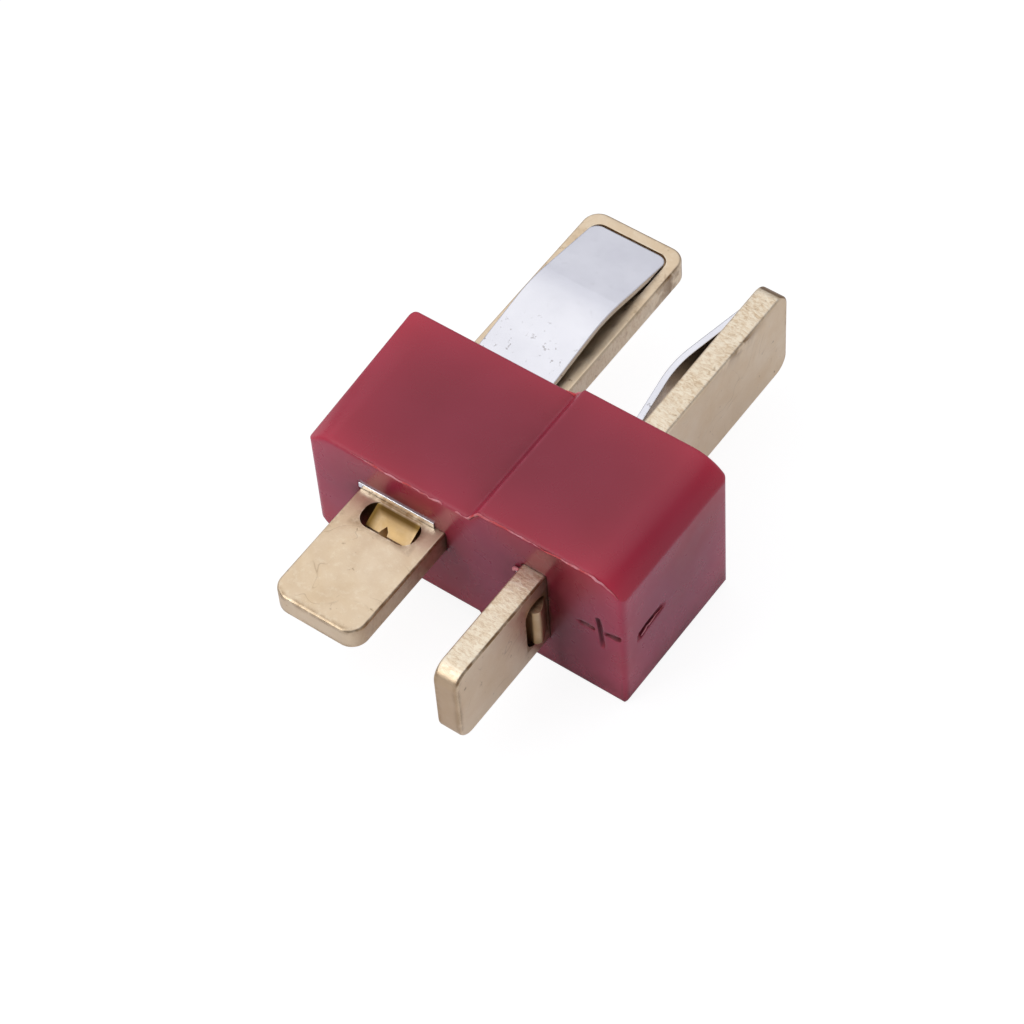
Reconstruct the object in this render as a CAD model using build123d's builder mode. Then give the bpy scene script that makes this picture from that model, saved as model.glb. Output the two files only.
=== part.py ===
# Male half of a T plug battery connector. A moulded nylon housing holds two blades of one
# stamping, one lying flat and one standing upright, and each blade carries a leaf spring.
# Millimetres. X runs along the housing, Y from the solder tabs to the mating blades, Z is up.
# The origin is under the middle of the whole plug, at the height that the housing rests on.

import os

from build123d import *

os.makedirs("parts", exist_ok=True)

# Housing, seen from the solder side: the thin half is on the left, the thick half on the right
housing_length = 16.0
housing_depth = 7.65
thick_height = 8.2
side_step = 0.73           # the thin half lies this far in, above and below
step_run = 0.5             # width of the slope between the halves
step_middle_x = 0.65
end_corner_run = 1.7       # upper corner at the thick end, an arc that stops in a crease
end_corner_drop = 0.9
low_corner_radius = 1.0    # lower corner at the thin end
high_corner_radius = 0.5
mould_edge_radius = 0.18

# Blade stamping, the same for both blades
blade_thickness = 1.2
mating_width = 5.05
mating_length = 10.3       # from the housing to the tip
tab_width = 4.4
tab_length = 6.25          # from the housing to the end of the solder tab
tab_shift = 0.3            # the tab lies this far to one side of the mating half
shoulder_depth = 2.4       # from the solder face to the shoulder that stops the blade
plan_corner_radius = 0.8
stamped_edge_radius = 0.14

# Window by the solder face, and the tang lanced into it that locks the blade: the tang hangs
# from the bridge and its free end, towards the end of the tab, is pushed out of the far face
window_width = 2.75
window_length = 1.4
window_radius = 0.6
window_bridge = 0.15       # metal between the window and the housing
tang_width = 2.2
tang_length = 1.05
tang_drop = 0.5
tang_nose_radius = 0.3

# Leaf spring: a flat root on the blade, a low bow, and a tip that rests in a pocket of the blade
leaf_width = 3.9
leaf_thickness = 0.3
leaf_root_reach = 0.05     # shows at the solder face
leaf_rise_depth = 0.5      # the leaf starts to rise this far inside the mating face
leaf_crown_reach = 4.7
leaf_crown_gap = 0.74      # from the blade to where the two slopes of the underside would meet
leaf_tip_reach = 9.52
leaf_bend_radius = 6.0
leaf_tip_radius = 0.5
pocket_depth = 0.3
pocket_start_reach = 6.9
pocket_end_reach = 9.7

# Fits
slot_clearance = 0.05      # around each blade in the housing, and beside the leaf
seat_clearance = 0.02      # under the leaf
channel_height = 0.48      # room for the leaf above its blade in the housing
cut_overrun = 1.0          # cuts that go right through run this far past the face

# Where the blades stand in the housing, at the middle of the mating half of each stamping
flat_blade_x = -3.45
flat_blade_lift = 1.23     # its upper face lies this far over the housing's mid height
flat_blade_face_z = thick_height / 2 + flat_blade_lift
upright_blade_face_x = 3.0
upright_blade_z = thick_height / 2 - tab_shift

overall_length = tab_length + housing_depth + mating_length
solder_face_y = tab_length - overall_length / 2
mating_face_y = solder_face_y + housing_depth
shoulder_y = solder_face_y + shoulder_depth
tab_end_y = solder_face_y - tab_length
blade_tip_y = mating_face_y + mating_length

# Local frame of each stamping: across the blade, along it, and out of the face with the leaf
flat_frame = Plane(
    origin=(flat_blade_x, 0, flat_blade_face_z), x_dir=(1, 0, 0), z_dir=(0, 0, 1)
)
upright_frame = Plane(
    origin=(upright_blade_face_x, 0, upright_blade_z), x_dir=(0, 0, 1), z_dir=(-1, 0, 0)
)
blade_frames = {"flat": flat_frame, "upright": upright_frame}


def side_plane(frame, across):
    # Looks along the blade's width: its x runs along the blade, its y out of the leaf's face
    return Plane(
        origin=frame.from_local_coords((across, 0, 0)), x_dir=frame.y_dir, z_dir=frame.x_dir
    )


def strip(width, across, start_y, end_y, corner_radius=0.0):
    # Rectangle across the stamping between two places along it
    with Locations((across, (start_y + end_y) / 2)):
        if corner_radius > 0:
            RectangleRounded(width, end_y - start_y, corner_radius)
        else:
            Rectangle(width, end_y - start_y)


# Housing
thick_end_x = housing_length / 2
thin_end_x = -housing_length / 2
thin_top = thick_height - side_step
slope_foot_x = step_middle_x - step_run / 2
slope_top_x = step_middle_x + step_run / 2

with BuildPart() as housing:
    with BuildSketch(Plane.XZ.offset(-mating_face_y)) as section:
        with BuildLine():
            end_corner = TangentArc(
                (thick_end_x - end_corner_run, thick_height),
                (thick_end_x, thick_height - end_corner_drop),
                tangent=(1, 0),
            )
            Polyline(
                end_corner @ 1,
                (thick_end_x, 0),
                (slope_top_x, 0),
                (slope_foot_x, side_step),
                (thin_end_x, side_step),
                (thin_end_x, thin_top),
                (slope_foot_x, thin_top),
                (slope_top_x, thick_height),
                end_corner @ 0,
            )
        make_face()
        thin_end_corners = section.vertices().group_by(Axis.X)[0].sort_by(Axis.Y)
        fillet(thin_end_corners[0], radius=low_corner_radius)
        fillet(thin_end_corners[-1], radius=high_corner_radius)
    extrude(amount=housing_depth)

    # Slots for the stampings: the wide one stops at the shoulder, the narrow one lets the tab out
    slot_height = blade_thickness + 2 * slot_clearance
    solder_cut_y = solder_face_y - cut_overrun
    mating_cut_y = mating_face_y + cut_overrun
    slot_planes = [frame.offset(slot_clearance) for frame in blade_frames.values()]
    with BuildSketch(*slot_planes):
        strip(mating_width + 2 * slot_clearance, 0, shoulder_y, mating_cut_y)
        strip(tab_width + 2 * slot_clearance, tab_shift, solder_cut_y, shoulder_y)
    extrude(amount=-slot_height, mode=Mode.SUBTRACT)

    # Channels over the blades for the leaves
    with BuildSketch(*blade_frames.values()):
        strip(leaf_width + 2 * slot_clearance, 0, solder_cut_y, mating_cut_y)
    extrude(amount=channel_height, mode=Mode.SUBTRACT)

    end_faces = housing.faces().filter_by(Axis.Y).sort_by(Axis.Y)
    rim_edges = end_faces[0].outer_wire().edges() + end_faces[-1].outer_wire().edges()
    fillet(rim_edges, radius=mould_edge_radius)

housing.part.label = "housing"
export_step(housing.part, "parts/housing.step")


# Blades
window_end_y = solder_face_y - window_bridge
window_start_y = window_end_y - window_length
tang_end_y = window_end_y - tang_length
pocket_start_y = mating_face_y + pocket_start_reach
pocket_end_y = mating_face_y + pocket_end_reach

for name, frame in blade_frames.items():
    with BuildPart() as blade:
        with BuildSketch(frame) as outline:
            strip(mating_width, 0, shoulder_y, blade_tip_y)
            strip(tab_width, tab_shift, tab_end_y, shoulder_y)
            tab_corners = outline.vertices().group_by(Axis.Y)[0]
            tip_corners = outline.vertices().group_by(Axis.Y)[-1]
            fillet(tab_corners + tip_corners, radius=plan_corner_radius)
        extrude(amount=-blade_thickness)
        broad_faces = blade.faces().filter_by(Axis(frame.origin, frame.z_dir))
        fillet(broad_faces.edges(), radius=stamped_edge_radius)

        with BuildSketch(frame):
            strip(window_width, tab_shift, window_start_y, window_end_y, window_radius)
        extrude(amount=-blade_thickness, mode=Mode.SUBTRACT)

        with BuildSketch(side_plane(frame, tab_shift)) as tang:
            with BuildLine():
                Polyline(
                    (solder_face_y, 0),
                    (window_end_y, 0),
                    (tang_end_y, -tang_drop),
                    (tang_end_y, -tang_drop - blade_thickness),
                    (window_end_y, -blade_thickness),
                    (solder_face_y, -blade_thickness),
                    close=True,
                )
            make_face()
            fillet(tang.vertices().sort_by(Axis.Y)[0], radius=tang_nose_radius)
        extrude(amount=tang_width / 2, both=True)

        with BuildSketch(frame):
            pocket_width = leaf_width + 2 * slot_clearance
            pocket_radius = leaf_tip_radius + slot_clearance
            strip(pocket_width, 0, pocket_start_y, pocket_end_y, pocket_radius)
        extrude(amount=-pocket_depth, mode=Mode.SUBTRACT)

    blade.part.label = name + "_contact_blade"
    export_step(blade.part, "parts/" + blade.part.label + ".step")


# Leaf springs
leaf_root_y = solder_face_y - leaf_root_reach
leaf_rise_y = mating_face_y - leaf_rise_depth
leaf_crown_y = mating_face_y + leaf_crown_reach
leaf_tip_y = mating_face_y + leaf_tip_reach
leaf_tip_height = seat_clearance - pocket_depth

for name, frame in blade_frames.items():
    with BuildPart() as leaf:
        with BuildSketch(side_plane(frame, 0)):
            with BuildLine():
                underside = FilletPolyline(
                    (leaf_root_y, seat_clearance),
                    (leaf_rise_y, seat_clearance),
                    (leaf_crown_y, leaf_crown_gap),
                    (leaf_tip_y, leaf_tip_height),
                    radius=leaf_bend_radius,
                )
                offset(underside, amount=leaf_thickness, side=Side.LEFT, closed=True)
            make_face()
        extrude(amount=leaf_width / 2, both=True)
        tip_face = leaf.faces().sort_by(Axis.Y)[-1]
        fillet(tip_face.edges().sort_by(SortBy.LENGTH)[:2], radius=leaf_tip_radius)

    leaf.part.label = name + "_leaf_spring"
    export_step(leaf.part, "parts/" + leaf.part.label + ".step")
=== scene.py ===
import math

import bmesh
import bpy
from mathutils import Matrix, Vector


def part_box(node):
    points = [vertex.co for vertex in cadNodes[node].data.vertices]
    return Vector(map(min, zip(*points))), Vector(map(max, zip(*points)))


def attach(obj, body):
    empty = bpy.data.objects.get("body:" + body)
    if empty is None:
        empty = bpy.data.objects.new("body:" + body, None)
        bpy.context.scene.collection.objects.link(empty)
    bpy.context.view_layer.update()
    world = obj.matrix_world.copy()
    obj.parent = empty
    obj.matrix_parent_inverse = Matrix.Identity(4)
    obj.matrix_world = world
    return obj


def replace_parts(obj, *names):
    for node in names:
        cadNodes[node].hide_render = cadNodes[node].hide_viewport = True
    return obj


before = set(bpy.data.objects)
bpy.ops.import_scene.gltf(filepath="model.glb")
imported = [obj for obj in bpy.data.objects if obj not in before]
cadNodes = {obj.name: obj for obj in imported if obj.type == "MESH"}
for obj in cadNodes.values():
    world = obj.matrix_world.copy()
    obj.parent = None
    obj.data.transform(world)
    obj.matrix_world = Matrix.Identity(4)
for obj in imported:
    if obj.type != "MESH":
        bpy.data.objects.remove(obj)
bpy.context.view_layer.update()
mm = 0.001
print("frame loaded:", ", ".join(sorted(cadNodes)))

# places read from the CAD, all in metres
housingLow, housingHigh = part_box("housing")
solderFaceY = housingLow.y
matingFaceY = housingHigh.y
thickTop = housingHigh.z
thickEndX = housingHigh.x
thinEndX = housingLow.x
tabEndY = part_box("flat_contact_blade")[0].y
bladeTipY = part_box("flat_contact_blade")[1].y
# middle of each leaf across its blade, and the blade face that it lies on
flatLeafLow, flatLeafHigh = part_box("flat_leaf_spring")
uprightLeafLow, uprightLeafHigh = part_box("upright_leaf_spring")
flatMiddleX = (flatLeafLow.x + flatLeafHigh.x) / 2
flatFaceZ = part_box("flat_contact_blade")[1].z
uprightMiddleZ = (uprightLeafLow.z + uprightLeafHigh.z) / 2
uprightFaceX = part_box("upright_contact_blade")[0].x
# the CAD's own sizes that no box gives: the thin half lies this far in, above and below, and each
# tab lies this far to one side of its blade's mating half
sideStep = 0.73 * mm
tabShift = 0.3 * mm


def addNode(tree, kind, values=None, **settings):
    # one shader or geometry node; a value is a number, a colour or the socket it is fed from
    node = tree.nodes.new(kind)
    for key, setting in settings.items():
        setattr(node, key, setting)
    for key, value in (values or {}).items():
        socket = node.inputs[key]
        if isinstance(value, bpy.types.NodeSocket):
            tree.links.new(value, socket)
        else:
            socket.default_value = value
    return node


def newMaterial(name):
    material = bpy.data.materials.new(name)
    material.use_nodes = True
    material.node_tree.nodes.clear()
    return material, material.node_tree


def objectCoords(tree):
    return addNode(tree, "ShaderNodeTexCoord").outputs["Object"]


def separate(tree, vector):
    return addNode(tree, "ShaderNodeSeparateXYZ", {0: vector}).outputs


def normalParts(tree):
    return separate(tree, addNode(tree, "ShaderNodeNewGeometry").outputs["Normal"])


def noise(tree, vector, scale, detail=3.0, roughness=0.5, distortion=0.0):
    values = {
        "Vector": vector, "Scale": scale, "Detail": detail,
        "Roughness": roughness, "Distortion": distortion,
    }
    return addNode(tree, "ShaderNodeTexNoise", values).outputs["Fac"]


def remap(tree, value, fromLow, fromHigh, toLow=0.0, toHigh=1.0, smooth=False):
    values = {
        "Value": value, "From Min": fromLow, "From Max": fromHigh,
        "To Min": toLow, "To Max": toHigh,
    }
    shape = "SMOOTHSTEP" if smooth else "LINEAR"
    return addNode(tree, "ShaderNodeMapRange", values, interpolation_type=shape).outputs[0]


def combine(tree, operation, *values):
    # works through the values from left to right
    result = values[0]
    for value in values[1:]:
        node = addNode(tree, "ShaderNodeMath", {0: result, 1: value}, operation=operation)
        result = node.outputs[0]
    return result


def times(tree, *values):
    return combine(tree, "MULTIPLY", *values)


def largest(tree, *values):
    return combine(tree, "MAXIMUM", *values)


def single(tree, operation, value):
    return addNode(tree, "ShaderNodeMath", {0: value}, operation=operation).outputs[0]


def dot(tree, first, second):
    values = {0: first, 1: second}
    return addNode(tree, "ShaderNodeVectorMath", values, operation="DOT_PRODUCT").outputs["Value"]


def blendColors(tree, amount, first, second, mode="MIX"):
    # the colour sockets share their names with the number sockets, so they are taken by place
    node = addNode(tree, "ShaderNodeMix", data_type="RGBA", blend_type=mode)
    for place, value in ((0, amount), (6, first), (7, second)):
        if isinstance(value, bpy.types.NodeSocket):
            tree.links.new(value, node.inputs[place])
        else:
            node.inputs[place].default_value = value
    return node.outputs[2]


def roundedNormal(tree, radius, samples):
    return addNode(tree, "ShaderNodeBevel", {"Radius": radius}, samples=samples).outputs[0]


def edgeMask(tree, radius, sharpness):
    # 1 on outer and inner corners within the radius, 0 on the flats
    rounded = roundedNormal(tree, radius, 6)
    normal = addNode(tree, "ShaderNodeNewGeometry").outputs["Normal"]
    return remap(tree, dot(tree, rounded, normal), 1.0, 1.0 - sharpness)


def openness(tree, reach):
    # 1 in the open, less in hollows and corners narrower than the reach
    return addNode(tree, "ShaderNodeAmbientOcclusion", {"Distance": reach}, samples=8).outputs["AO"]


def fade(tree, value, place, reach):
    # 1 at the place, falling off to both sides of it
    distance = single(tree, "ABSOLUTE", combine(tree, "SUBTRACT", value, place))
    return single(tree, "EXPONENT", times(tree, distance, -1.0 / reach))


def inside(tree, value, low, high, soft):
    # 1 between low and high, 0 from the soft distance outside of them
    rising = remap(tree, value, low - soft, low)
    return combine(tree, "MINIMUM", rising, remap(tree, value, high + soft, high))


def bump(tree, height, strength, distance, normal=None):
    values = {"Height": height, "Strength": strength, "Distance": distance}
    if normal is not None:
        values["Normal"] = normal
    return addNode(tree, "ShaderNodeBump", values).outputs[0]


def addSurface(tree, values):
    shader = addNode(tree, "ShaderNodeBsdfPrincipled", values)
    addNode(tree, "ShaderNodeOutputMaterial", {"Surface": shader.outputs[0]})


def rgba(red, green, blue):
    return (red, green, blue, 1.0)


def makeNylon():
    look = {
        "deep": rgba(0.232, 0.008, 0.028),
        "light": rgba(0.268, 0.013, 0.040),
        "glow": rgba(0.34, 0.020, 0.030), "glowReach": 1.6 * mm, "glowShare": 0.56,
        "slope": (0.4 * mm, 0.9 * mm),
        "paintedSheen": rgba(0.0, 0.011, 0.030),
        "edgeHighlight": rgba(0.62, 0.12, 0.18), "edgeRadius": 0.26 * mm, "edgeShare": 0.85,
        "hollowShade": rgba(0.150, 0.008, 0.021), "hollowReach": 0.35 * mm, "hollowShare": 0.68,
        "paintedShade": rgba(0.120, 0.009, 0.016), "cornerReach": 2.3 * mm, "cornerShare": 0.85,
        "besideTabX": 4.7 * mm, "besideTabReach": 1.1 * mm, "besideTabShare": 0.75,
        "roughness": 0.27, "shine": 0.5, "paintedShadeShine": 0.16,
        # strength and height of the unevenness
        "ripple": (0.14, 0.12 * mm), "grain": (0.025, 0.006 * mm),
    }
    material, tree = newMaterial("crimsonNylon")
    coords = objectCoords(tree)
    swirl = remap(tree, noise(tree, coords, 260.0, 2.0), 0.3, 0.7)
    color = blendColors(tree, swirl, look["deep"], look["light"])

    # light scatters in the plastic, so it is redder and lighter towards every side of the block,
    # whose top and bottom lie further in on the thin half
    x, y, z = separate(tree, coords)
    top = remap(tree, x, *look["slope"], thickTop - sideStep, thickTop)
    bottom = remap(tree, x, *look["slope"], sideStep, 0.0)
    sides = (
        (x, thinEndX), (x, thickEndX), (y, solderFaceY), (y, matingFaceY), (z, top), (z, bottom),
    )
    # every point lies near one side at least, and only what a second side adds counts
    glow = -1.0
    for value, place in sides:
        glow = combine(tree, "ADD", glow, fade(tree, value, place, look["glowReach"]))
    color = blendColors(tree, times(tree, glow, look["glowShare"]), color, look["glow"], "ADD")

    # painted reflection: upright faces get a cool, cloudy sheen added to their colour
    facing = normalParts(tree)
    clouds = remap(tree, noise(tree, coords, 210.0, 2.0), 0.35, 0.62)
    paintedSheen = times(tree, remap(tree, facing["Z"], 0.6, 0.2), clouds)
    color = blendColors(tree, paintedSheen, color, look["paintedSheen"], "ADD")
    # painted highlight: the edges are lighter, broken up by noise
    edgeHighlight = edgeMask(tree, look["edgeRadius"] * look["edgeShare"], 0.14)
    edgeBreak = remap(tree, noise(tree, coords, 1800.0, 3.0), 0.35, 0.65, 0.22, 0.62)
    color = blendColors(tree, times(tree, edgeHighlight, edgeBreak), color, look["edgeHighlight"])
    # painted shade: narrow hollows such as the signs and slots are darker
    hollowShade = remap(tree, openness(tree, look["hollowReach"]), 0.70, 0.35, 0.0, look["hollowShare"])
    color = blendColors(tree, hollowShade, color, look["hollowShade"])

    # painted shade in the corners where the tabs leave the housing, most of it as a painted shadow
    # right of the upright tab
    corner = remap(tree, openness(tree, look["cornerReach"]), 0.92, 0.52, 0.0, look["cornerShare"])
    patches = remap(tree, noise(tree, coords, 900.0, 3.0, 0.6), 0.35, 0.60, 0.45, 1.0)
    beside = times(
        tree, fade(tree, x, look["besideTabX"], look["besideTabReach"]),
        remap(tree, facing["Y"], -0.5, -0.9), look["besideTabShare"],
    )
    paintedShade = largest(tree, times(tree, corner, patches), beside)
    color = blendColors(tree, paintedShade, color, look["paintedShade"])

    blotch = remap(tree, noise(tree, coords, 700.0, 3.0), 0.3, 0.7, -0.03, 0.07)
    soft = roundedNormal(tree, look["edgeRadius"], 8)
    rippled = bump(tree, noise(tree, coords, 420.0, 2.0), *look["ripple"], soft)
    grained = bump(tree, noise(tree, coords, 9000.0, 2.0), *look["grain"], rippled)
    # where shade is painted, the shine is lowered too
    addSurface(tree, {
        "Base Color": color, "Roughness": combine(tree, "ADD", blotch, look["roughness"]),
        "IOR": 1.49, "Normal": grained,
        "Specular IOR Level": remap(tree, paintedShade, 0.0, 1.0, look["shine"], look["paintedShadeShine"]),
    })
    return material


def brassGround(tree, look, site):
    # cloudy plating with pale mottles and a few long curved scratches
    coords, facing = site["coords"], site["facing"]
    cloud = remap(tree, noise(tree, coords, 420.0, 5.0, 0.65, 0.4), 0.32, 0.68)
    color = blendColors(tree, cloud, look["plate"], look["warm"])
    mottle = remap(tree, noise(tree, coords, 3000.0, 4.0, 0.75), 0.52, 0.66, 0.0, 0.30)
    upwards = remap(tree, facing["Z"], 0.2, 0.9, 0.3, 1.0)
    color = blendColors(tree, times(tree, mottle, upwards), color, look["pale"])
    # a scratch runs where one noise crosses its middle value
    bend = noise(tree, coords, 430.0, 1.0, 0.4, 0.9)
    scratch = fade(tree, bend, 0.5, 0.0028)
    scratched = remap(tree, noise(tree, coords, 800.0, 2.0), 0.50, 0.62, 0.0, 0.42)
    return blendColors(tree, times(tree, scratch, scratched), color, look["stain"])


def brassEdges(tree, look, site, torn, tornShare, color):
    # torn grain of the sheared edges, then painted highlights and dull patches along the rims
    onEdge, rimNoise = site["onEdge"], site["rimNoise"]
    rim = edgeMask(tree, look["rimRadius"], 0.14)
    for amount, tone in (
        (times(tree, remap(tree, torn, 0.42, 0.58), onEdge, tornShare), "pale"),
        (times(tree, remap(tree, torn, 0.44, 0.30), onEdge, look["tornDarkShare"]), "stain"),
        (times(tree, rim, remap(tree, rimNoise, 0.42, 0.60, 0.0, 0.9)), "pale"),
        (times(tree, rim, remap(tree, rimNoise, 0.40, 0.30, 0.0, 0.7)), "stain"),
    ):
        color = blendColors(tree, amount, color, look[tone])
    return color


def brassStains(tree, look, site, blade, color):
    coords, facing = site["coords"], site["facing"]
    along, rimNoise = site["along"], site["rimNoise"]
    specks = remap(tree, noise(tree, coords, 2400.0, 3.0, 0.65), 0.66, 0.76, 0.0, 0.6)
    nearRim = edgeMask(tree, look["nearRimRadius"], 0.10)
    rimBlots = times(
        tree, nearRim, remap(tree, noise(tree, coords, 800.0, 4.0, 0.7), 0.57, 0.68, 0.0, 0.7)
    )
    # the very ends of the tip and of the tab
    tipEnd = times(
        tree, remap(tree, along, bladeTipY - look["tipFrom"], bladeTipY - look["tipFull"]),
        edgeMask(tree, look["tipRimRadius"], 0.10),
    )
    tabEnd = times(
        tree, remap(tree, along, tabEndY + look["tabFrom"], tabEndY + look["tabFull"]), nearRim
    )
    ends = times(
        tree, largest(tree, tipEnd, tabEnd), remap(tree, rimNoise, 0.64, 0.44, 0.15, 1.0)
    )
    # tarnish turns round the tip's corners
    tipTurn = times(
        tree, inside(tree, facing["Y"], 0.40, 0.80, 0.12), blade["tipStain"],
        remap(tree, along, matingFaceY, matingFaceY + look["run"]),
    )
    # brown blots below the rim on the right
    sideBlots = times(
        tree, fade(tree, site["across"], blade["middle"] + look["blotSide"], look["blotWidth"]),
        remap(tree, facing["X"], 0.2, 0.6),
        remap(tree, noise(tree, coords, 1000.0, 3.0, 0.6), 0.38, 0.50),
        fade(tree, along, blade["blotY"], look["blotLength"]), look["blotShare"],
    )
    # the rounding between the tab's upper face and its right side is brown
    upAndRight = combine(tree, "MINIMUM", facing["X"], facing["Z"])
    rounding = times(
        tree, remap(tree, upAndRight, 0.15, 0.45),
        remap(tree, along, solderFaceY + look["run"] / 2, solderFaceY - look["run"] / 2),
        remap(tree, rimNoise, 0.62, 0.40, 0.3, 0.9),
    )
    stains = largest(tree, specks, rimBlots, ends, rounding, tipTurn, sideBlots)
    color = blendColors(tree, stains, color, look["stain"])
    # painted shade and reflection of the housing on the sides next to the housing
    root = times(
        tree, fade(tree, along, solderFaceY, blade["rootReach"]),
        remap(tree, facing["Z"], 0.8, 0.4),
        remap(tree, noise(tree, coords, 1100.0, 3.0, 0.6), 0.36, 0.56, 0.5, 1.0),
        look["rootShare"],
    )
    color = blendColors(tree, root, color, look["paintedShade"])
    # painted shade: one side of the tab is darker
    sideShade = times(
        tree, remap(tree, times(tree, facing[blade["shadedSideAxis"]], blade["shadedSideSign"]), 0.5, 0.9),
        remap(tree, along, solderFaceY, solderFaceY - look["run"]), look["sideShadeShare"],
    )
    return blendColors(tree, sideShade, color, look["sideShade"])


def brassWindow(tree, look, site, blade, color):
    # the window's rim and the bridge between it and the housing are darker, and inside the window
    # the colour is painted shade
    window = {
        "halfWidth": 1.375 * mm, "start": 1.55 * mm, "end": 0.15 * mm,
        "edgeSoftness": 0.06 * mm, "rimSoftness": 0.28 * mm,
        "wallFrom": 0.02 * mm, "wallFull": 0.06 * mm,
        "bridgeReach": 0.1 * mm, "bridgeSoftness": 0.03 * mm,
        "bridgeInset": 0.35 * mm, "bridgeEndSoftness": 0.2 * mm,
        "backFrom": 0.46 * mm, "backFull": 0.24 * mm, "sideFrom": 0.75 * mm, "sideFull": 0.40 * mm,
    }
    along, across, rimNoise, windowDarkening = site["along"], site["across"], site["rimNoise"], blade["windowDarkening"]
    low = blade["middle"] + tabShift - window["halfWidth"]
    high = blade["middle"] + tabShift + window["halfWidth"]
    startY, endY = solderFaceY - window["start"], solderFaceY - window["end"]

    def zone(soft):
        return combine(
            tree, "MINIMUM", inside(tree, along, startY, endY, soft),
            inside(tree, across, low, high, soft),
        )

    overFace = combine(tree, "SUBTRACT", site["height"], blade["face"])
    depth = times(tree, overFace, -blade["outwards"])
    inWindow = times(
        tree, zone(window["edgeSoftness"]),
        remap(tree, depth, window["wallFrom"], window["wallFull"]),
    )
    dirtyRim = times(
        tree, zone(window["rimSoftness"]), remap(tree, rimNoise, 0.65, 0.40, 0.1, windowDarkening * 0.6)
    )
    color = blendColors(tree, dirtyRim, color, look["stain"])
    bridgeEndY, inset = solderFaceY + window["bridgeReach"], window["bridgeInset"]
    bridge = combine(
        tree, "MINIMUM", inside(tree, along, endY, bridgeEndY, window["bridgeSoftness"]),
        inside(tree, across, low + inset, high - inset, window["bridgeEndSoftness"]),
    )
    bridge = times(tree, bridge, remap(tree, rimNoise, 0.64, 0.42, 0.45 * windowDarkening, 0.9 * windowDarkening))
    color = blendColors(tree, bridge, color, look["stain"])
    # painted shade: what lies below the face in the window is darker and duller
    ground = times(tree, inWindow, remap(tree, rimNoise, 0.3, 0.6, windowDarkening, windowDarkening * 0.8))
    color = blendColors(tree, ground, color, look["window"])
    # painted shade: it is darkest towards the housing and at its low end across
    back = largest(
        tree, remap(tree, along, endY - window["backFrom"], endY - window["backFull"], 0.0, windowDarkening),
        remap(tree, across, low + window["sideFrom"], low + window["sideFull"], 0.0, windowDarkening),
    )
    return blendColors(tree, times(tree, inWindow, back), color, look["windowShade"])


def makeBrass(name, blade):
    # edgeAxis: across the stamping's width, where its sheared edges face
    # middle: of the leaf, on that axis; face: where the leaf's face lies on the faceAxis
    # outwards: 1 or -1, the way that face looks
    # windowDarkening, tornShare, tipStain: how strong the darkening and painted shade in the
    # window, the torn grain and the tarnish are
    # rootReach: how far the painted shade next to the housing comes; blotY: the middle of the side
    # blots
    # shadedSideAxis, shadedSideSign: the way that the tab's side with painted shade looks
    look = {
        "plate": rgba(0.87, 0.71, 0.51),
        "warm": rgba(0.79, 0.61, 0.40),
        "pale": rgba(1.0, 0.888, 0.69),
        "stain": rgba(0.24, 0.13, 0.05),
        "paintedShade": rgba(0.12, 0.06, 0.025), "rootShare": 0.9,
        "sideShade": rgba(0.50, 0.34, 0.20), "sideShadeShare": 0.62,
        "window": rgba(0.58, 0.385, 0.17),
        "windowShade": rgba(0.17, 0.095, 0.02),
        "roughness": 0.36,
        "rimRadius": 0.12 * mm, "tipRimRadius": 0.22 * mm, "nearRimRadius": 0.5 * mm,
        "tornDarkShare": 0.25, "tornScale": (3200.0, 7000.0, 3200.0), "tornTurn": (0.35, 0.35, 0.0),
        "blotSide": 2.4 * mm, "blotWidth": 0.28 * mm, "blotLength": 0.9 * mm, "blotShare": 1.3,
        # where the stains at both ends begin and are whole, and the run over which others come in
        "tipFrom": 0.36 * mm, "tipFull": 0.14 * mm, "tabFrom": 0.5 * mm, "tabFull": 0.1 * mm,
        "run": 1.0 * mm,
        "hollowReach": 0.6 * mm, "hollowShare": 0.55,
        # strength and height of the unevenness
        "fineGrain": (0.5, 0.015 * mm), "tornGrain": (0.7, 0.025 * mm),
    }
    material, tree = newMaterial(name)
    coords = objectCoords(tree)
    places = separate(tree, coords)
    facing = normalParts(tree)
    sideways = single(tree, "ABSOLUTE", facing[blade["edgeAxis"]])
    site = {
        "coords": coords, "facing": facing, "along": places["Y"],
        "across": places[blade["edgeAxis"]], "height": places[blade["faceAxis"]],
        "onEdge": remap(tree, sideways, 0.6, 0.9),
        "rimNoise": noise(tree, coords, 1500.0, 3.0, 0.6),
    }
    # short, slightly slanted and uneven, finer along Y than across
    slanted = addNode(tree, "ShaderNodeMapping", {
        "Vector": coords, "Rotation": look["tornTurn"], "Scale": look["tornScale"],
    }).outputs[0]
    torn = noise(tree, slanted, 1.0, 4.0, 0.75, 0.5)

    color = brassGround(tree, look, site)
    color = brassEdges(tree, look, site, torn, blade["tornShare"], color)
    color = brassStains(tree, look, site, blade, color)
    color = brassWindow(tree, look, site, blade, color)
    # painted shade: hollows and the face beside and under the leaf are darker
    hollowShade = remap(tree, openness(tree, look["hollowReach"]), 0.65, 0.20, 0.0, look["hollowShare"])
    color = blendColors(tree, hollowShade, color, look["stain"])

    roughness = remap(
        tree, noise(tree, coords, 1100.0, 3.0), 0.3, 0.7,
        look["roughness"] - 0.05, look["roughness"] + 0.10,
    )
    fine = bump(tree, noise(tree, coords, 4200.0, 4.0, 0.7), *look["fineGrain"])
    addSurface(tree, {
        "Base Color": color, "Metallic": 1.0, "Roughness": roughness,
        "Normal": bump(tree, times(tree, torn, site["onEdge"]), *look["tornGrain"], fine),
    })
    return material


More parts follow.
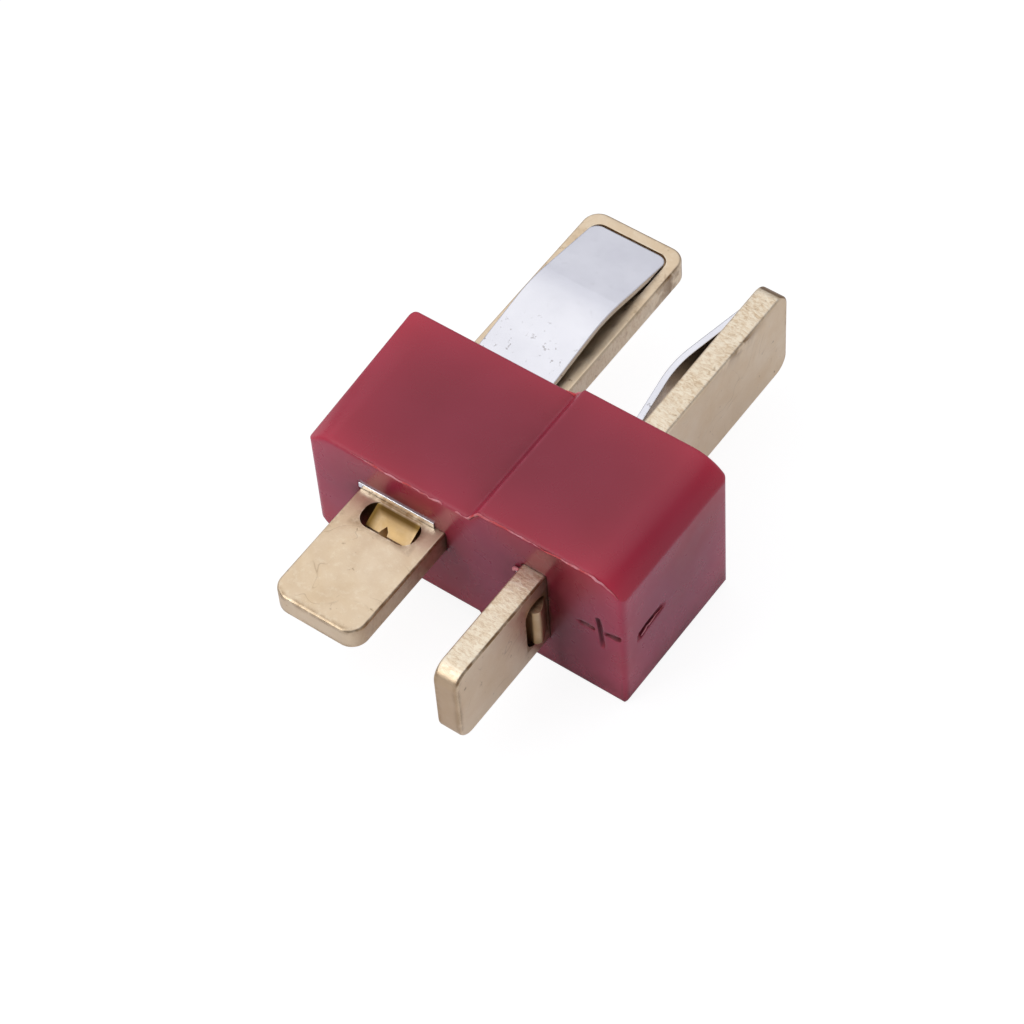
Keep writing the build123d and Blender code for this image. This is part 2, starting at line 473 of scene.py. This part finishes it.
def makeLeafPlate():
    look = {
        "silver": rgba(0.90, 0.90, 0.935),
        "grey": rgba(0.84, 0.84, 0.88),
        "speck": rgba(0.20, 0.17, 0.15),
        "rootFrom": 4.0 * mm, "rootFull": 0.5 * mm,
        "roughness": 0.12,
        "edgeRadius": 0.08 * mm,
        "ripple": (0.05, 0.05 * mm),
    }
    material, tree = newMaterial("silverPlate")
    coords = objectCoords(tree)
    cloud = remap(tree, noise(tree, coords, 500.0, 3.0), 0.35, 0.65)
    color = blendColors(tree, cloud, look["silver"], look["grey"])
    # most specks lie near the root
    along = separate(tree, coords)["Y"]
    nearRoot = remap(
        tree, along, matingFaceY + look["rootFrom"], matingFaceY + look["rootFull"]
    )
    specks = times(
        tree, remap(tree, noise(tree, coords, 3400.0, 2.0, 0.6), 0.63, 0.70),
        remap(tree, nearRoot, 0.0, 1.0, 0.04, 0.85),
    )
    color = blendColors(tree, specks, color, look["speck"])
    soft = roundedNormal(tree, look["edgeRadius"], 6)
    roughness = remap(
        tree, noise(tree, coords, 1600.0, 3.0), 0.3, 0.7,
        look["roughness"], look["roughness"] + 0.08,
    )
    addSurface(tree, {
        "Base Color": color, "Metallic": 1.0, "Roughness": roughness,
        "Normal": bump(tree, noise(tree, coords, 700.0, 2.0), *look["ripple"], soft),
    })
    return material


def makeFlashNylon():
    look = {"pale": rgba(0.80, 0.30, 0.34), "red": rgba(0.66, 0.06, 0.07), "roughness": 0.35}
    material, tree = newMaterial("flashNylon")
    patches = remap(tree, noise(tree, objectCoords(tree), 1500.0, 2.0), 0.40, 0.60)
    color = blendColors(tree, patches, look["red"], look["pale"])
    addSurface(tree, {"Base Color": color, "Roughness": look["roughness"]})
    return material


nylon = makeNylon()
flashNylon = makeFlashNylon()
flatBrass = makeBrass("flatBladeBrass", {
    "edgeAxis": "X", "middle": flatMiddleX, "faceAxis": "Z", "face": flatFaceZ, "outwards": 1.0,
    "windowDarkening": 0.95, "rootReach": 1.5 * mm, "tornShare": 0.45, "tipStain": 0.45,
    "blotY": 10.6 * mm, "shadedSideAxis": "X", "shadedSideSign": 1.0,
})
uprightBrass = makeBrass("uprightBladeBrass", {
    "edgeAxis": "Z", "middle": uprightMiddleZ, "faceAxis": "X", "face": uprightFaceX,
    "outwards": -1.0, "windowDarkening": 0.5, "rootReach": 0.75 * mm, "tornShare": 0.95, "tipStain": 0.9,
    "blotY": 8.6 * mm, "shadedSideAxis": "Y", "shadedSideSign": -1.0,
})
leafPlate = makeLeafPlate()
print("materials made")


def dress(nodeName, material):
    mesh = cadNodes[nodeName].data
    mesh.materials.clear()
    mesh.materials.append(material)


dress("upright_contact_blade", uprightBrass)
dress("flat_leaf_spring", leafPlate)
dress("upright_leaf_spring", leafPlate)


# meshes: within these distances points are one, and from this bend on an edge is sharp
mergeDistance = 0.0005 * mm
cutDistance = 0.0002 * mm
sharpBend = math.radians(28)


def addObject(name, data):
    item = bpy.data.objects.new(name, data)
    bpy.context.scene.collection.objects.link(item)
    return item


def newPiece(name, mesh, material):
    mesh.materials.clear()
    mesh.materials.append(material)
    piece = addObject(name, mesh)
    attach(piece, "root")
    return piece


def evaluatedMesh(carrier):
    # the mesh with all modifiers in it; the carrier is no longer needed
    graph = bpy.context.evaluated_depsgraph_get()
    finished = bpy.data.meshes.new_from_object(carrier.evaluated_get(graph))
    bpy.data.objects.remove(carrier)
    return finished


def mergedCopy(nodeName):
    # the CAD's mesh with its faces joined up, and a bmesh of it to work on
    mesh = cadNodes[nodeName].data.copy()
    mesh.attributes.remove(mesh.attributes["custom_normal"])
    shape = bmesh.new()
    shape.from_mesh(mesh)
    bmesh.ops.remove_doubles(shape, verts=shape.verts, dist=mergeDistance)
    return mesh, shape


def carved(mesh, cutterShape):
    # the mesh less the cutter, with normals that keep wide flat faces flat beside small round ones
    # every cutter goes in at once, because a second carving would blend the normals of the first
    bmesh.ops.recalc_face_normals(cutterShape, faces=cutterShape.faces)
    cutterMesh = bpy.data.meshes.new("cutter")
    cutterShape.to_mesh(cutterMesh)
    cutterShape.free()
    body = addObject("body", mesh)
    cutter = addObject("cutter", cutterMesh)
    boolean = body.modifiers.new("carving", "BOOLEAN")
    boolean.operation = "DIFFERENCE"
    boolean.solver = "EXACT"
    boolean.use_self = True
    boolean.object = cutter
    finished = evaluatedMesh(body)
    bpy.data.objects.remove(cutter)
    finished.shade_smooth()
    finished.set_sharp_from_angle(angle=sharpBend)
    body = addObject("body", finished)
    weighting = body.modifiers.new("weighting", "WEIGHTED_NORMAL")
    weighting.keep_sharp = True
    weighting.weight = 100
    return evaluatedMesh(body)


def addPrism(shape, outline, depth, shrink, place):
    # outline: corners in the plane of a face; place(point, depth) gives the 3D point that far
    # below it; at the face the prism has the outline's size, above it is larger, below it smaller
    middleX = sum(p[0] for p in outline) / len(outline)
    middleY = sum(p[1] for p in outline) / len(outline)

    def scaled(point, share):
        return (middleX + (point[0] - middleX) * share, middleY + (point[1] - middleY) * share)

    outer = [shape.verts.new(place(scaled(p, 2.0 - shrink), -depth)) for p in outline]
    inner = [shape.verts.new(place(scaled(p, shrink), depth)) for p in outline]
    shape.faces.new(outer)
    shape.faces.new(inner[::-1])
    count = len(outline)
    for i in range(count):
        after = (i + 1) % count
        shape.faces.new((outer[i], inner[i], inner[after], outer[after]))


def addCornerCutter(shape, radius, start, end, place):
    # what lies outside of a quarter round on a long edge; place(a, b, run) has a and b measured
    # inwards from the edge
    outside = -0.3 * mm
    segments = 8
    profile = [(outside, outside), (radius, outside)]
    for i in range(segments + 1):
        angle = math.radians(90.0 * i / segments)
        profile.append((radius - radius * math.sin(angle), radius - radius * math.cos(angle)))
    profile.append((outside, radius))
    first = [shape.verts.new(place(a, b, start)) for a, b in profile]
    last = [shape.verts.new(place(a, b, end)) for a, b in profile]
    for i in range(len(profile)):
        after = (i + 1) % len(profile)
        shape.faces.new((first[i], last[i], last[after], first[after]))
        # the caps are fans of triangles from the profile's first corner
        if i and after:
            shape.faces.new((first[0], first[i], first[after]))
            shape.faces.new((last[0], last[after], last[i]))


# millimetres; the mouth's pairs are an old and a new place, measured from the blade's middle and
# face; the signs are uneven as in the photograph, and lie in the plane of their face
housing = {
    "cornerRadius": {
        "thickSolder": 0.30, "thickMating": 0.36, "thinMating": 0.42, "thinSolder": 0.32,
        "thickLow": 0.36,
    },
    "cutterOverrun": 1.0,
    "slump": {
        "run": 1.3, "drop": 0.8, "startHeight": 5.0, "topWidth": 2, "power": 1.6,
        "acrossSteps": 8, "alongSteps": 7,
    },
    "mouth": {
        "height": ((0.48, 0.335), (0.05, 0.012), (-1.25, -1.212)),
        "across": ((2.0, 1.965), (-2.0, -1.965), (2.55, 2.512), (-1.95, -1.912)),
        "reach": 2.6, "lowest": -1.3, "highest": 0.5, "faceSlack": 0.005, "snapReach": 0.01,
    },
    "signDepth": 0.17,
    "signShrink": 0.72,
    "plus": [
        [(5.58, 4.38), (5.80, 4.52), (6.15, 4.57), (6.50, 4.54), (6.60, 4.44), (6.50, 4.30),
         (6.05, 4.28), (5.75, 4.27)],
        [(6.58, 5.30), (6.70, 5.42), (6.84, 5.36), (6.93, 4.90), (6.98, 4.20), (7.04, 3.55),
         (6.98, 3.32), (6.82, 3.34), (6.74, 3.60), (6.72, 4.20), (6.66, 4.80)],
        [(7.00, 4.60), (7.30, 4.68), (7.60, 4.78), (7.80, 4.82), (7.88, 4.66), (7.80, 4.46),
         (7.55, 4.38), (7.30, 4.40), (7.02, 4.38)],
    ],
    "minus": [
        [(-4.98, 3.80), (-4.85, 4.10), (-4.30, 4.22), (-3.30, 4.24), (-2.92, 4.15), (-2.86, 3.92),
         (-3.02, 3.74), (-4.20, 3.66), (-4.72, 3.50), (-4.98, 3.58)],
    ],
}


def snapped(value, moves):
    for old, new in moves:
        if abs(value - old * mm) < housing["mouth"]["snapReach"] * mm:
            return new * mm
    return value


def closeMouths(shape):
    # at the solder face the plastic closes in on the blades and the leaves; further in the CAD's
    # clearance stays
    mouth = housing["mouth"]
    for vertex in shape.verts:
        if abs(vertex.co.y - solderFaceY) > mouth["faceSlack"] * mm:
            continue
        x, z = vertex.co.x, vertex.co.z
        for across, height, isFlat in (
            (x - flatMiddleX, z - flatFaceZ, True), (z - uprightMiddleZ, uprightFaceX - x, False),
        ):
            if abs(across) > mouth["reach"] * mm:
                continue
            if not mouth["lowest"] * mm < height < mouth["highest"] * mm:
                continue
            across = snapped(across, mouth["across"])
            height = snapped(height, mouth["height"])
            if isFlat:
                vertex.co.x, vertex.co.z = flatMiddleX + across, flatFaceZ + height
            else:
                vertex.co.x, vertex.co.z = uprightFaceX - height, uprightMiddleZ + across


def sinkThinCorner(shape):
    # the upper corner of the thin end sinks towards the solder side, which needs edges to bend at
    slump = housing["slump"]
    run, startHeight = slump["run"] * mm, slump["startHeight"] * mm
    depth = matingFaceY - solderFaceY
    cuts = [
        ((thinEndX + run * i / slump["acrossSteps"], 0, 0), (1, 0, 0))
        for i in range(1, slump["acrossSteps"] + 1)
    ]
    cuts += [
        ((0, solderFaceY + depth * i / slump["alongSteps"], 0), (0, 1, 0))
        for i in range(1, slump["alongSteps"])
    ]
    cuts += [((0, 0, startHeight), (0, 0, 1))]
    for point, normal in cuts:
        everything = shape.verts[:] + shape.edges[:] + shape.faces[:]
        bmesh.ops.bisect_plane(
            shape, geom=everything, plane_co=point, plane_no=normal, dist=cutDistance
        )
    thinTop = max(v.co.z for v in shape.verts if v.co.x < thinEndX + slump["topWidth"] * mm)
    for vertex in shape.verts:
        across = 1.0 - (vertex.co.x - thinEndX) / run
        along = (matingFaceY - vertex.co.y) / depth
        up = (vertex.co.z - startHeight) / (thinTop - startHeight)
        if across > 0 and up > 0:
            vertex.co.z -= slump["drop"] * mm * along * across ** slump["power"] * up


def makeHousing():
    mesh, shape = mergedCopy("housing")
    closeMouths(shape)
    sinkThinCorner(shape)
    shape.to_mesh(mesh)
    shape.free()

    cutterShape = bmesh.new()
    for outline in housing["plus"]:
        addPrism(
            cutterShape, outline, housing["signDepth"], housing["signShrink"],
            lambda p, depth: (p[0] * mm, solderFaceY + depth * mm, p[1] * mm),
        )
    for outline in housing["minus"]:
        addPrism(
            cutterShape, outline, housing["signDepth"], housing["signShrink"],
            lambda p, depth: (thickEndX - depth * mm, p[0] * mm, p[1] * mm),
        )
    # the upright corners and the lower edge at the thick end are rounder than the rims
    overrun = housing["cutterOverrun"] * mm
    for name, edgeX, inX, edgeY, inY in (
        ("thickSolder", thickEndX, -1, solderFaceY, 1),
        ("thickMating", thickEndX, -1, matingFaceY, -1),
        ("thinMating", thinEndX, 1, matingFaceY, -1),
        ("thinSolder", thinEndX, 1, solderFaceY, 1),
    ):
        addCornerCutter(
            cutterShape, housing["cornerRadius"][name] * mm, -overrun, thickTop + overrun,
            lambda a, b, run: (edgeX + inX * a, edgeY + inY * b, run),
        )
    addCornerCutter(
        cutterShape, housing["cornerRadius"]["thickLow"] * mm,
        solderFaceY - overrun, matingFaceY + overrun, lambda a, b, run: (thickEndX - a, run, b),
    )
    finished = carved(mesh, cutterShape)
    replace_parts(newPiece("housing_body", finished, nylon), "housing")
    print("housing made:", len(finished.polygons), "faces")


makeHousing()


def makeFlatBlade():
    # a notch is torn into the free end of the tang in the window
    notch = {
        "outline": [(-3.56, -7.14), (-3.12, -7.14), (-3.19, -6.90), (-3.34, -6.74), (-3.46, -6.92)],
        "middleDepth": 1.1, "halfDepth": 0.85, "shrink": 0.85,
    }
    mesh, shape = mergedCopy("flat_contact_blade")
    shape.to_mesh(mesh)
    shape.free()
    cutterShape = bmesh.new()
    addPrism(
        cutterShape, notch["outline"], notch["halfDepth"], notch["shrink"],
        lambda p, depth: (p[0] * mm, p[1] * mm, flatFaceZ - (notch["middleDepth"] + depth) * mm),
    )
    finished = carved(mesh, cutterShape)
    blade = newPiece("flat_blade_body", finished, flatBrass)
    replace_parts(blade, "flat_contact_blade")
    print("flat blade made:", len(finished.polygons), "faces")


makeFlatBlade()


def flashThread():
    # a node group that turns paths into uneven threads
    tree = bpy.data.node_groups.new("flashThread", "GeometryNodeTree")
    outside = tree.interface
    outside.new_socket("Geometry", in_out="INPUT", socket_type="NodeSocketGeometry")
    sockets = {
        name: outside.new_socket(name, in_out="INPUT", socket_type="NodeSocketFloat")
        for name in ("Thickness", "Wobble", "Step")
    }
    outside.new_socket("Geometry", in_out="OUTPUT", socket_type="NodeSocketGeometry")
    given = addNode(tree, "NodeGroupInput").outputs
    curve = addNode(tree, "GeometryNodeMeshToCurve", {"Mesh": given["Geometry"]}).outputs[0]
    even = addNode(
        tree, "GeometryNodeResampleCurve", {"Curve": curve, "Length": given["Step"]}, mode="LENGTH"
    )
    where = addNode(tree, "GeometryNodeInputPosition").outputs[0]
    shake = addNode(tree, "ShaderNodeTexNoise", {"Vector": where, "Scale": 2600.0, "Detail": 2.0})
    centred = addNode(
        tree, "ShaderNodeVectorMath", {0: shake.outputs["Color"], 1: (0.5, 0.5, 0.5)},
        operation="SUBTRACT",
    )
    offset = addNode(
        tree, "ShaderNodeVectorMath", {0: centred.outputs[0], "Scale": given["Wobble"]},
        operation="SCALE",
    )
    moved = addNode(
        tree, "GeometryNodeSetPosition", {"Geometry": even.outputs[0], "Offset": offset.outputs[0]}
    )
    swell = remap(tree, noise(tree, where, 1300.0), 0.35, 0.65, 0.35, 1.6)
    share = addNode(
        tree, "GeometryNodeInputNamedAttribute", {"Name": "swelling"}, data_type="FLOAT"
    ).outputs[0]
    ring = addNode(tree, "GeometryNodeCurvePrimitiveCircle", {"Resolution": 7, "Radius": 1.0})
    solid = addNode(tree, "GeometryNodeCurveToMesh", {
        "Curve": moved.outputs[0], "Profile Curve": ring.outputs[0],
        "Scale": times(tree, swell, given["Thickness"], share), "Fill Caps": True,
    })
    whole = addNode(tree, "GeometryNodeRealizeInstances", {"Geometry": solid.outputs[0]})
    painted = addNode(
        tree, "GeometryNodeSetMaterial", {"Geometry": whole.outputs[0], "Material": flashNylon}
    )
    addNode(tree, "NodeGroupOutput", {"Geometry": painted.outputs[0]})
    return tree, sockets


def makeFlash():
    # flash along the mould's parting edges, a bead squeezed out beside the upright tab, and the
    # raised lower lip of the minus; every point is x, y, z in millimetres and a share of the
    # thickness
    frontInset, backInset = 0.02, 0.07
    front = solderFaceY / mm + frontInset
    back = matingFaceY / mm - backInset
    frontEdge = (
        (-5.66, 7.44, 0.2), (-4.63, 7.43, 0.6), (-4.40, 7.37, 1.2), (-3.87, 7.35, 0.9),
        (-3.10, 7.36, 0.8), (-2.33, 7.38, 0.9), (-1.75, 7.40, 1.0), (-1.62, 7.32, 1.5),
        (-1.30, 7.36, 1.1), (-1.04, 7.42, 1.0), (-0.86, 7.20, 1.2), (-0.55, 7.22, 1.0),
        (-0.19, 7.40, 1.1), (0.05, 7.30, 1.0), (0.32, 7.36, 1.0), (0.62, 7.74, 1.0),
        (0.92, 8.11, 1.0), (1.20, 8.08, 0.9), (2.30, 8.12, 1.0), (3.46, 8.12, 0.8),
        (4.74, 8.12, 0.9), (6.02, 8.12, 1.1), (6.60, 8.10, 0.9), (7.16, 7.94, 0.7),
        (7.58, 7.68, 0.5), (7.78, 7.48, 0.3),
    )
    backEdge = (
        (-0.30, 7.38, 0.4), (0.10, 7.41, 1.2), (0.38, 7.42, 1.5), (0.62, 7.72, 1.5),
        (0.88, 8.04, 1.5), (1.15, 8.08, 1.1), (1.60, 8.10, 0.4),
    )
    flash = {
        "lines": [
            [(x, front, z, share) for x, z, share in frontEdge],
            [(2.60, -5.93, 5.66, 1.4), (2.64, -5.95, 5.82, 2.2), (2.78, -5.95, 5.88, 2.2),
             (2.92, -5.93, 5.90, 1.2)],
            [(x, back, z, share) for x, z, share in backEdge],
            [(7.95, -4.62, 3.60, 0.4), (7.94, -4.18, 3.72, 0.9), (7.95, -3.60, 3.80, 0.9),
             (7.95, -3.05, 3.82, 0.5)],
        ],
        "Thickness": 0.042,
        "Wobble": 0.11,
        "Step": 0.11,
    }
    shape = bmesh.new()
    swelling = shape.verts.layers.float.new("swelling")
    for line in flash["lines"]:
        previous = None
        for x, y, z, share in line:
            vertex = shape.verts.new((x * mm, y * mm, z * mm))
            vertex[swelling] = share
            if previous:
                shape.edges.new((previous, vertex))
            previous = vertex
    pathMesh = bpy.data.meshes.new("flashPath")
    shape.to_mesh(pathMesh)
    shape.free()
    carrier = addObject("flashPath", pathMesh)
    threader = carrier.modifiers.new("thread", "NODES")
    threader.node_group, sockets = flashThread()
    for name, socket in sockets.items():
        threader[socket.identifier] = flash[name] * mm
    finished = evaluatedMesh(carrier)
    finished.shade_smooth()
    newPiece("mould_flash", finished, flashNylon)
    print("flash made:", len(finished.polygons), "faces")


makeFlash()


def makeFloor():
    # white paper, which the camera sees mostly as an even glow; in what mirrors it, it glows less
    paper = {
        "radius": 0.9, "sides": 96, "drop": 0.01 * mm, "albedo": rgba(0.80, 0.80, 0.80),
        "glow": rgba(1.0, 1.0, 1.0), "mirroredGlow": rgba(0.94, 0.96, 1.10),
        "glowStrength": 1.24, "seenShare": 0.72, "mirroredShare": 0.19,
    }
    mesh = bpy.data.meshes.new("floor")
    shape = bmesh.new()
    bmesh.ops.create_circle(shape, cap_ends=True, radius=paper["radius"], segments=paper["sides"])
    bmesh.ops.translate(shape, vec=(0.0, 0.0, -paper["drop"]), verts=shape.verts)
    shape.to_mesh(mesh)
    shape.free()
    floor = addObject("floor", mesh)
    material, tree = newMaterial("paperWhite")
    diffuse = addNode(tree, "ShaderNodeBsdfDiffuse", {"Color": paper["albedo"]})
    rays = addNode(tree, "ShaderNodeLightPath").outputs
    mirrored = largest(tree, rays["Is Glossy Ray"], rays["Is Transmission Ray"])
    glow = addNode(tree, "ShaderNodeEmission", {
        "Color": blendColors(tree, mirrored, paper["glow"], paper["mirroredGlow"]),
        "Strength": paper["glowStrength"],
    })
    share = largest(
        tree, times(tree, rays["Is Camera Ray"], paper["seenShare"]),
        times(tree, mirrored, paper["mirroredShare"]),
    )
    mix = addNode(
        tree, "ShaderNodeMixShader", {0: share, 1: diffuse.outputs[0], 2: glow.outputs[0]}
    )
    addNode(tree, "ShaderNodeOutputMaterial", {"Surface": mix.outputs[0]})
    mesh.materials.append(material)


makeFloor()


def makeWorld():
    # a soft dome, brightest overhead towards the back left, with a grey backdrop on the right
    dome = {
        "dark": rgba(0.20, 0.20, 0.225), "middle": rgba(0.78, 0.785, 0.84),
        "bright": rgba(0.97, 0.97, 1.0), "direction": (-0.45, 0.15, 0.88),
        "darkUntil": 0.45, "middleAt": 0.78, "brightFrom": 0.97,
        "backdrop": rgba(0.52, 0.52, 0.56), "backdropTop": 0.80, "backdropFoot": 0.30,
        "backdropDirection": (0.95, 0.30, 0.0), "backdropFrom": -0.1, "backdropWhole": 0.45,
    }
    world = bpy.data.worlds.new("studio")
    bpy.context.scene.world = world
    world.use_nodes = True
    tree = world.node_tree
    tree.nodes.clear()
    coords = addNode(tree, "ShaderNodeTexCoord").outputs["Generated"]
    toLight = dot(tree, coords, dome["direction"])
    rise = remap(tree, toLight, dome["darkUntil"], dome["middleAt"], smooth=True)
    top = remap(tree, toLight, dome["middleAt"], dome["brightFrom"])
    color = blendColors(tree, rise, dome["dark"], dome["middle"])
    color = blendColors(tree, top, color, dome["bright"])
    height = separate(tree, coords)["Z"]
    low = remap(tree, height, dome["backdropTop"], dome["backdropFoot"], smooth=True)
    toBackdrop = dot(tree, coords, dome["backdropDirection"])
    backdrop = times(
        tree, low, remap(tree, toBackdrop, dome["backdropFrom"], dome["backdropWhole"])
    )
    color = blendColors(tree, backdrop, color, dome["backdrop"])
    background = addNode(tree, "ShaderNodeBackground", {"Color": color, "Strength": 1.0})
    addNode(tree, "ShaderNodeOutputWorld", {"Surface": background.outputs[0]})


def addSoftbox(name, place, side, radiance):
    # a square lamp that looks at the plug
    light = bpy.data.lights.new(name, "AREA")
    light.shape = "RECTANGLE"
    light.size = side
    light.size_y = side
    light.energy = radiance * math.pi * side * side
    box = addObject(name, light)
    box.location = place
    box.rotation_euler = (-Vector(place)).to_track_quat("-Z", "Y").to_euler()


makeWorld()
addSoftbox("frontBox", (-0.19, -0.20, 0.34), 0.24, 0.9)
addSoftbox("lowFrontBox", (-0.15, -0.318, 0.177), 0.14, 3.2)
print("floor and light set")


def makeCamera():
    # at the photograph's angle
    view = {
        "azimuth": 39.62, "elevation": 53.82, "roll": -4.965, "distance": 0.15153,
        "lens": 125.65, "sensorWidth": 36.0, "aim": (-0.000601, -0.001850, 0.002534),
        "clipStart": 0.005, "clipEnd": 5.0,
    }
    azimuth = math.radians(view["azimuth"])
    elevation = math.radians(view["elevation"])
    roll = math.radians(view["roll"])
    back = Vector((
        math.sin(azimuth) * math.cos(elevation), -math.cos(azimuth) * math.cos(elevation),
        math.sin(elevation),
    ))
    levelRight = Vector((math.cos(azimuth), math.sin(azimuth), 0.0))
    levelUp = back.cross(levelRight)
    right = levelRight * math.cos(roll) + levelUp * math.sin(roll)
    up = levelUp * math.cos(roll) - levelRight * math.sin(roll)
    camera = addObject("camera", bpy.data.cameras.new("camera"))
    camera.data.lens = view["lens"]
    camera.data.sensor_width = view["sensorWidth"]
    camera.data.clip_start = view["clipStart"]
    camera.data.clip_end = view["clipEnd"]
    turn = Matrix((right, up, back)).transposed().to_4x4()
    camera.matrix_world = Matrix.Translation(Vector(view["aim"]) + back * view["distance"]) @ turn
    bpy.context.scene.camera = camera


makeCamera()
bpy.context.scene.view_settings.view_transform = "Standard"
print("camera set")
